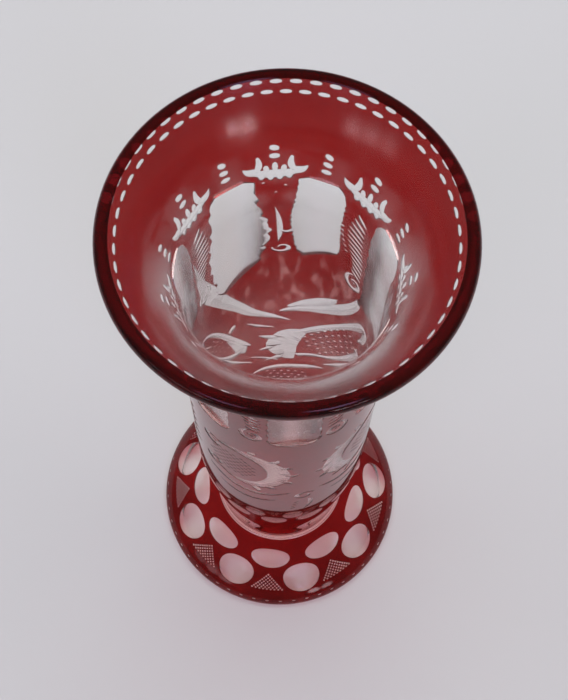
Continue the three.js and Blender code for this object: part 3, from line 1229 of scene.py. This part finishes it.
    def small_scroll(self) -> list[CutGroup]:
        """Draws the smaller scroll under the festoon's left half, seen from within, and the arch beneath both.

        Returns:
            Its groups of cuts.
        """
        upper, lower, back, strokes, lattice = (CutGroup() for _ in range(5))
        upper.sweep([(-28.8, 139), (-33, 146), (-33.5, 153), (-28.5, 148.5), (-23, 138.5), (-18, 127), (-13, 116),
                     (-9.5, 111)], [0.8, 1.2, 1.8, 2.2, 2.4, 2.8, 3.2, 0.4], 44)
        lower.sweep([(-13, 112), (-16, 109.8), (-19.5, 111.5), (-23, 116), (-26, 122), (-29, 131.5)],
                    [3.6, 4.4, 3.2, 2.0, 1.6, 0.8], 30)
        back.sweep([(-19.5, 127), (-15.8, 119), (-13.8, 112), (-12.5, 106)], [1.0, 4.6, 5.4, 0.6], 16)
        strokes.dot((-17.4, 135.5), (3.4, 7.0), turn=-24)
        strokes.sweep([(-24, 117), (-17, 102), (-9.5, 93)], [0.4, 2.0, 0.5], 18)
        strokes.sweep([(-10, 99), (-3, 93.4), (1.5, 90.5)], [0.6, 2.0, 0.6], 12)
        strokes.sweep([(-9, 81.7), (-4.5, 83), (1, 83.8), (9, 85.4), (15, 88.8), (21, 93.5)],
                      [1.0, 3.2, 3.8, 3.8, 3.0, 0.8], 28)
        strokes.sweep([(21, 97.5), (28, 108), (36.5, 127)], [0.8, 2.2, 0.6], 20)
        for i in range(5):
            for j in range(-1, 2):
                lattice.dot((-29.0 + i * 2.3 + j * 1.9, 139.5 - i * 4.4 + j * 1.0), (1.8, 1.1), turn=-60, fine=6)
        for row in range(3):
            for column in range(6):
                spot = (-3.0 + column * 3.0 + (row % 2) * 1.5, 79.6 - row * 2.8 + abs(column - 2) * 0.5)
                lattice.dot(spot, (1.9, 1.0), turn=20, fine=6)
        return [upper, lower, back, strokes, lattice]

    def spray(self) -> list[CutGroup]:
        """Draws the spray that stands between the open sides of two shields.

        Returns:
            Its groups of cuts.
        """
        stem, leaves = CutGroup(), CutGroup()
        stem.stroke((0, 163.0), (0.6, 122.0), 1.2, (1.6, 0.4), 22)
        for i in range(6):
            for side in (-1, 1):
                root = (side * 1.5 + 0.4, 125.5 + i * 6.0)
                leaves.stroke(root, (side * (6.4 - 0.5 * i), root[1] + 3.6), side * 0.8, (1.9, 0.3, 0.4), 6)
        return [stem, leaves]

    def bows(self) -> list[CutGroup]:
        """Draws the long bows under a shield.

        Returns:
            One group with both bows.
        """
        bows = CutGroup()
        bows.stroke((-16.0, 120.2), (15.0, 120.8), -4.2, (3.2, 0.6), 24)
        bows.stroke((-11.0, 110.4), (10.6, 110.6), -2.6, (1.7, 0.4), 16)
        return [bows]

    def hook(self) -> list[CutGroup]:
        """Draws the small scroll that hangs between two shields.

        Returns:
            Its groups of cuts.
        """
        hooks = CutGroup()
        hooks.curl(((0, 114.0), (3.8, 1.1), 30, 400, 1.1), (1.9, 0.6, 0.3), 24)
        hooks.stroke((1.5, 108.5), (0.2, 95.0), 1.6, (2.0, 0.4, 0.3), 12)
        for i in range(4):
            hooks.dot((-2.9 - 0.3 * i, 106.0 - 2.6 * i), (2.4, 1.1), turn=35)
        return [hooks]

    def placed(self) -> list[Placed]:
        """Draws all the cuts of the bowl.

        Returns:
            The groups of cuts with their places.
        """
        dashes = [(i + 0.5) * 360 / self.dash_count for i in range(self.dash_count)]
        outer_dashes = [azimuth + 180 / self.dash_count for azimuth in dashes]
        opposite = self.gaps[3]
        ferned = [azimuth for azimuth in self.gaps if azimuth != opposite]
        front = [self.scroll_pair - self.scroll_apart, self.scroll_pair + self.scroll_apart]
        sprays = [self.scroll_pair + self.spray_apart, self.scroll_pair - self.spray_apart]
        found = [
            *self.flats(),
            Placed(self.lip_dash(), dashes, self.dash_heights[0]),
            Placed(self.lip_dash(), outer_dashes, self.dash_heights[1]),
        ]
        for groups, spots, mirrored in (
            ([self.stack(3, 232.2)], self.on_windows, ()),
            ([self.stack(2, 235.6)], self.gaps, ()),
            (self.fringe(), self.gaps, ()),
            (self.fern(), ferned, (0, 1, 2)),
            (self.tendril(), [opposite], (0,)),
            (self.shield(), front, (0,)),
            (self.swag() + self.great_scroll() + self.small_scroll(), [self.festoon], (0,)),
            (self.spray(), sprays, ()),
            (self.bows(), front, (0,)),
            (self.hook(), [self.scroll_pair, *sprays], ()),
        ):
            found += [Placed(group, spots, None, mirrored) for group in groups]
        return found


@dataclass
class Layers:
    """Clear glass and the ruby layer over it, which the same strokes cut."""

    radius: float
    columns: int
    placed: list[Placed]
    flats: Flats | None = None
    ruby_thickness: float = 0.12
    join: float = 0.01
    glass_depth: float = 2.6

    def build(self, outer: Profile, whole: Profile, names: tuple[str, str]) -> list[Object]:
        """Cuts and wraps both layers.

        Args:
            outer: the line that the ruby lies along.
            whole: the closed line of the clear glass.
            names: of the ruby layer and of the clear glass.

        Returns:
            The ruby layer and the clear glass.
        """
        ruby = (0.0, self.ruby_thickness, Cut.SKIN, Cut.BOND)
        clear = (self.ruby_thickness + self.join, self.glass_depth, Cut.WASTE, Cut.WASTE)
        found = []
        for name, line, faces in zip(names, (outer, whole), (ruby, clear)):
            sheet = Sheet(line, self.radius, self.columns, self.flats)
            cutters = [sheet.cutter(group) for group in self.placed]
            found.append(sheet.wrap(sheet.cut(sheet.slab(*faces), cutters), name))
            for cutter in cutters:
                discard(cutter)
        return found


@dataclass
class Bowl:
    """The bowl: its clear glass and the ruby layer on it."""

    shape: BowlShape
    cuts: BowlCuts
    columns: int = 126

    def build(self, finishes: Finishes) -> list[Object]:
        """Builds and dresses both pieces.

        Args:
            finishes: the glasses of the vase.

        Returns:
            The pieces.
        """
        shape, cuts = self.shape, self.cuts
        waist = (shape.waist_radius, shape.base)
        outer = shape.side(Profile(waist)).finish()
        whole = Profile((0.0, shape.base)).line(waist, 4, Cut.BOND)
        whole = shape.inside(shape.side(whole, Cut.BOND)).finish()
        flats = Flats(cuts.on_windows, cuts.flat_reaches, cuts.flats_above)
        layers = Layers(shape.body_radius, self.columns, cuts.placed(), flats)
        skin, glass = layers.build(outer, whole, ("ruby_layer_of_bowl", "glass_of_bowl"))
        dress(skin, finishes.ruby, "ruby_bowl_layer")
        dress(glass, finishes.clear, "clear_bowl")
        return [skin, glass]


@dataclass
class FootShape:
    """The domed foot, hollow below, with the ruby layer over its slope."""

    radius: float
    edge_height: float
    top: float
    joint_radius: float
    shoulder_radius: float = 45.2
    shoulder_drop: float = 13.2
    ring_radius: float = 47.6
    ring_width: float = 3.6
    hollow_height: float = 16.0

    def slope(self, profile: Profile, kind: Cut = Cut.SKIN) -> Profile:
        """Adds the slope to a profile that ends at the widest point of the edge.

        Args:
            profile: that is carried on.
            kind: of the slope's faces.

        Returns:
            The same profile.
        """
        controls = [(self.radius, self.edge_height + self.shoulder_drop / 4),
                    (self.shoulder_radius, self.top - self.shoulder_drop), (self.joint_radius, self.top)]
        return profile.curve(controls, 24, kind)

    def whole(self) -> Profile:
        """Draws the closed outline of the clear foot.

        Returns:
            The finished profile.
        """
        inner = self.ring_radius - self.ring_width
        under = Profile((0.0, self.hollow_height))
        under.curve([(inner * 0.7, self.hollow_height), (inner, 0.0)], 20).line((self.ring_radius, 0.0), 2)
        under.curve([(self.radius, 0.0), (self.radius, self.edge_height)], 5)
        return self.slope(under, Cut.BOND).line((0.0, self.top), 5, Cut.BOND).finish()


@dataclass
class FootCuts:
    """The wheel cuts of the foot: nine lenses, nine crescents and the fine work between them."""

    shape: FootShape
    count: int = 9
    first: float = 16.0
    lens_radius: float = 41.3
    lens_size: Point = (15.8, 13.0)
    crescent_radius: float = 33.6
    crescent_size: Point = (16.6, 8.6)
    hatch_rows: int = 9
    hatch_radius: float = 42.4
    hatch_pitch: Point = (1.62, 0.84)
    hatch_size: Point = (1.16, 1.16)
    dash_count: int = 54
    dash_size: Point = (1.9, 0.75)
    dash_inset: float = 0.9

    def __post_init__(self) -> None:
        """Keeps the slope to find places on."""
        self.line = self.shape.slope(Profile((self.shape.radius, self.shape.edge_height))).finish()

    def height_at(self, radius: float) -> float:
        """Height of the slope at a radius."""
        points = self.line.line_points
        return float(np.interp(-radius, -points[:, 0], points[:, 1]))

    def placed(self) -> list[Placed]:
        """Draws all the cuts of the foot.

        Returns:
            The groups of cuts with their places.
        """
        lenses, crescents = CutGroup(Cut.POLISHED, 1.5), CutGroup(Cut.POLISHED, 1.5)
        hatch, dashes = CutGroup(), CutGroup()
        lenses.dot((0, 0), self.lens_size, 1.5, fine=40)
        crescents.dot((0, 0), self.crescent_size, 1.2, fine=32)
        across, down = self.hatch_pitch
        for row in range(self.hatch_rows):
            for place in range(row + 1):
                centre = ((place - row / 2) * across, ((self.hatch_rows - 1) / 2 - row) * down)
                hatch.dot(centre, self.hatch_size, fine=4)
        dashes.dot((0, 0), self.dash_size)
        step = 360 / self.count
        on_lens = [self.first + i * step for i in range(self.count)]
        between = [azimuth + step / 2 for azimuth in on_lens]
        edge = [(i + 0.5) * 360 / self.dash_count for i in range(self.dash_count)]
        return [Placed(group, spots, self.height_at(radius)) for group, spots, radius in (
            (lenses, on_lens, self.lens_radius), (crescents, between, self.crescent_radius),
            (hatch, between, self.hatch_radius), (dashes, edge, self.shape.radius - self.dash_inset),
        )]


@dataclass
class Foot:
    """The foot: its clear glass and the ruby layer on it."""

    shape: FootShape
    cuts: FootCuts
    columns: int = 108

    def build(self, finishes: Finishes) -> list[Object]:
        """Builds and dresses both pieces.

        Args:
            finishes: the glasses of the vase.

        Returns:
            The pieces.
        """
        layers = Layers(self.cuts.lens_radius, self.columns, self.cuts.placed())
        skin, glass = layers.build(self.cuts.line, self.shape.whole(), ("ruby_layer_of_foot", "glass_of_foot"))
        dress(skin, finishes.ruby, "ruby_foot_layer")
        dress(glass, finishes.clear, "clear_foot")
        return [skin, glass]


@dataclass
class Joint:
    """The disc of clear glass that joins the bowl to the foot."""

    radius: float
    low: float
    high: float
    edge: float = 1.4
    turns: int = 108

    def build(self, finishes: Finishes) -> Object:
        """Builds and dresses the disc.

        Args:
            finishes: the glasses of the vase.

        Returns:
            The disc.
        """
        bm = bmesh.new()
        middle, half = (self.low + self.high) / 2, (self.high - self.low) / 2
        arc = [math.radians(a) for a in range(-90, 91, 15)]
        edge = [(self.radius - self.edge + self.edge * math.cos(a), middle + half * math.sin(a)) for a in arc]
        verts = [bm.verts.new((0, -r * MM, z * MM)) for r, z in [(0.0, self.low), *edge, (0.0, self.high)]]
        edges = [bm.edges.new(pair) for pair in zip(verts, verts[1:])]
        bmesh.ops.spin(bm, geom=[*verts, *edges], axis=(0, 0, 1), cent=(0, 0, 0), steps=self.turns,
                       angle=2 * math.pi, use_merge=True)
        bmesh.ops.remove_doubles(bm, verts=bm.verts[:], dist=0.002 * MM)
        bmesh.ops.recalc_face_normals(bm, faces=bm.faces[:])
        for f in bm.faces:
            f.smooth = abs(f.normal.z) < 0.99
            f.material_index = (Cut.BOND if abs(f.normal.z) > 0.995 else Cut.SKIN).value
        made = make_object(bm, "glass_joint")
        dress(made, finishes.clear, "foot_joint")
        return made


@dataclass
class Camera:
    """The photograph's viewpoint."""

    place: tuple[float, float, float] = (0.00286, -0.1323, 0.5194)
    pitch: float = 68.946
    yaw: float = -1.237
    roll: float = 1.7875
    focal_pixels: float = 1196.1
    sensor: float = 36.0

    def build(self) -> Object:
        """Makes the scene's camera.

        Returns:
            The camera.
        """
        pitch, yaw, roll = (math.radians(a) for a in (self.pitch, self.yaw, self.roll))
        ahead = Vector((math.sin(yaw) * math.cos(pitch), math.cos(yaw) * math.cos(pitch), -math.sin(pitch)))
        level = Vector((math.cos(yaw), -math.sin(yaw), 0))
        upright = level.cross(ahead)
        right = level * math.cos(roll) + upright * math.sin(roll)
        up = upright * math.cos(roll) - level * math.sin(roll)
        data = bpy.data.cameras.new("camera")
        data.sensor_width = self.sensor
        data.lens = self.focal_pixels / PHOTO_HEIGHT * self.sensor
        data.clip_start, data.clip_end = 0.01, 20
        made = link_object("camera", data)
        made.matrix_world = Matrix.Translation(self.place) @ Matrix((right, up, -ahead)).transposed().to_4x4()
        bpy.context.scene.camera = made
        return made


def direction(azimuth: float, elevation: float) -> Vector:
    """The direction of an azimuth and an elevation in degrees."""
    a, e = math.radians(azimuth), math.radians(elevation)
    return Vector((math.sin(a) * math.cos(e), -math.cos(a) * math.cos(e), math.sin(e)))


@dataclass(frozen=True)
class Lamp:
    """One soft box."""

    name: str
    azimuth: float
    elevation: float
    size: Point
    power: float
    colour: Colour = (1.0, 0.99, 0.97)
    distance: float = 1.9

    def build(self, aim: Vector) -> Object:
        """Hangs the lamp round a point that it faces.

        Args:
            aim: the point.

        Returns:
            The lamp.
        """
        data = bpy.data.lights.new(self.name, "AREA")
        data.shape, data.size, data.size_y = "RECTANGLE", *self.size
        data.energy, data.color = self.power, self.colour
        back = direction(self.azimuth, self.elevation)
        made = link_object(self.name, data)
        made.rotation_euler = (-back).to_track_quat("-Z", "Y").to_euler()
        made.location = aim + back * self.distance
        made.visible_glossy = False  # its light stays, its image doesn't
        return made


@dataclass(frozen=True)
class SoftWindow:
    """A bright place on the room's walls that fades at its edge. Core and edge are angles from its middle."""

    azimuth: float
    elevation: float
    core: float
    edge: float
    colour: Colour

    def add(self, tree: NodeTree, ahead: NodeSocket, room: NodeSocket | Colour) -> NodeSocket:
        """Adds the window's light to the room's.

        Args:
            tree: the world's nodes.
            ahead: the direction looked in.
            room: the light so far.

        Returns:
            The light with the window's.
        """
        towards = direction(self.azimuth, self.elevation)
        near = add_node(tree, "ShaderNodeVectorMath", {0: ahead, 1: towards}, operation="DOT_PRODUCT")
        edge, core = math.cos(math.radians(self.edge)), math.cos(math.radians(self.core))
        fade = ramp(tree, near.outputs["Value"], edge, core, kind="SMOOTHSTEP")
        return add_node(tree, "ShaderNodeVectorMath", {0: self.colour, 1: fade, 2: room},
                        operation="MULTIPLY_ADD").outputs[0]


@dataclass
class Studio:
    """Floor, lamps and world."""

    floor_colour: Colour = (0.573, 0.583, 0.58)
    floor_size: float = 6.0
    aim: Colour = (0, 0, 0.13)
    sky: Colour = (0.18, 0.181, 0.186)
    windows: tuple[SoftWindow, ...] = (
        SoftWindow(26, 13, 1, 5, (8.0, 8.0, 8.5)),
        SoftWindow(35, 12.5, 1, 5, (5.4, 5.4, 5.8)),
        SoftWindow(-34, 16, 1, 6.5, (2.4, 2.4, 2.6)),
        SoftWindow(-45, 15.5, 1, 6.5, (2.0, 2.0, 2.15)),
        SoftWindow(-56, 15, 1, 6.5, (1.4, 1.4, 1.5)),
        SoftWindow(-30, 50, 3, 12, (2.2, 1.3, 2.6)),
        SoftWindow(27, 50, 3, 12, (2.8, 2.3, 4.6)),
    )
    lamps: tuple[Lamp, ...] = (
        Lamp("ceiling_back", 180, 62, (1.7, 1.3), 22),
        Lamp("ceiling_front", 0, 66, (1.5, 1.2), 7, (1.0, 0.995, 0.985)),
        Lamp("ceiling_left", -100, 55, (1.2, 1.2), 7.5, (0.96, 0.97, 1.0)),
        Lamp("ceiling_right", 100, 55, (1.2, 1.2), 7),
    )

    def build(self) -> None:
        """Builds the floor, the lamps and the world, and sets how light is traced."""
        bm = bmesh.new()
        bmesh.ops.create_grid(bm, x_segments=8, y_segments=8, size=self.floor_size / 2)
        floor = make_object(bm, "floor")
        floor.data.materials.append(self._paper())
        for lamp in self.lamps:
            lamp.build(Vector(self.aim))
        scene = bpy.context.scene
        scene.world = self._room()
        scene.view_settings.view_transform = "Standard"
        scene.cycles.max_bounces = 32
        scene.cycles.transmission_bounces = 32
        scene.cycles.transparent_max_bounces = 48
        scene.cycles.glossy_bounces = 8

    def _room(self) -> World:
        """Makes the room: an even dim light, and windows whose edges fade.

        Returns:
            The world.
        """
        made = bpy.data.worlds.new("room")
        made.use_nodes = True
        tree = made.node_tree
        ahead = add_node(tree, "ShaderNodeTexCoord").outputs["Generated"]
        light = self.sky
        for window in self.windows:
            light = window.add(tree, ahead, light)
        tree.links.new(light, tree.nodes["Background"].inputs["Color"])
        return made

    def _paper(self) -> Material:
        """Makes the floor's pale paper.

        Returns:
            The material.
        """
        made = bpy.data.materials.new("paper")
        made.use_nodes = True
        tree = made.node_tree
        shader = tree.nodes["Principled BSDF"]
        shader.inputs["Roughness"].default_value = 0.9
        shader.inputs["Specular IOR Level"].default_value = 0.2
        dark = tuple(c * 0.965 for c in self.floor_colour)
        colour = blend(tree, noise(tree, 1.4, 2.0), (*dark, 1), (*self.floor_colour, 1))
        tree.links.new(colour, shader.inputs["Base Color"])
        return made


LAYER_GAP = 0.3  # between neighbouring solids of the frame, which the looks close


def main() -> None:
    """Builds the vase and its studio."""
    logging.basicConfig(level=logging.INFO, format="%(message)s")
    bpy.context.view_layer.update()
    finishes = Finishes()
    rim, waist, top = node_reach("ruby_bowl_layer")
    edge_radius, edge_height, foot_top = node_reach("ruby_foot_layer")
    joint_radius, _, _ = node_reach("foot_joint")
    bowl_shape = BowlShape(waist, top, rim)
    foot_shape = FootShape(edge_radius, edge_height, foot_top, joint_radius + LAYER_GAP)
    Bowl(bowl_shape, BowlCuts(bowl_shape)).build(finishes)
    Joint(joint_radius, foot_top - LAYER_GAP, waist + LAYER_GAP).build(finishes)
    Foot(foot_shape, FootCuts(foot_shape)).build(finishes)
    Studio().build()
    Camera().build()


if __name__ == "__main__":
    main()
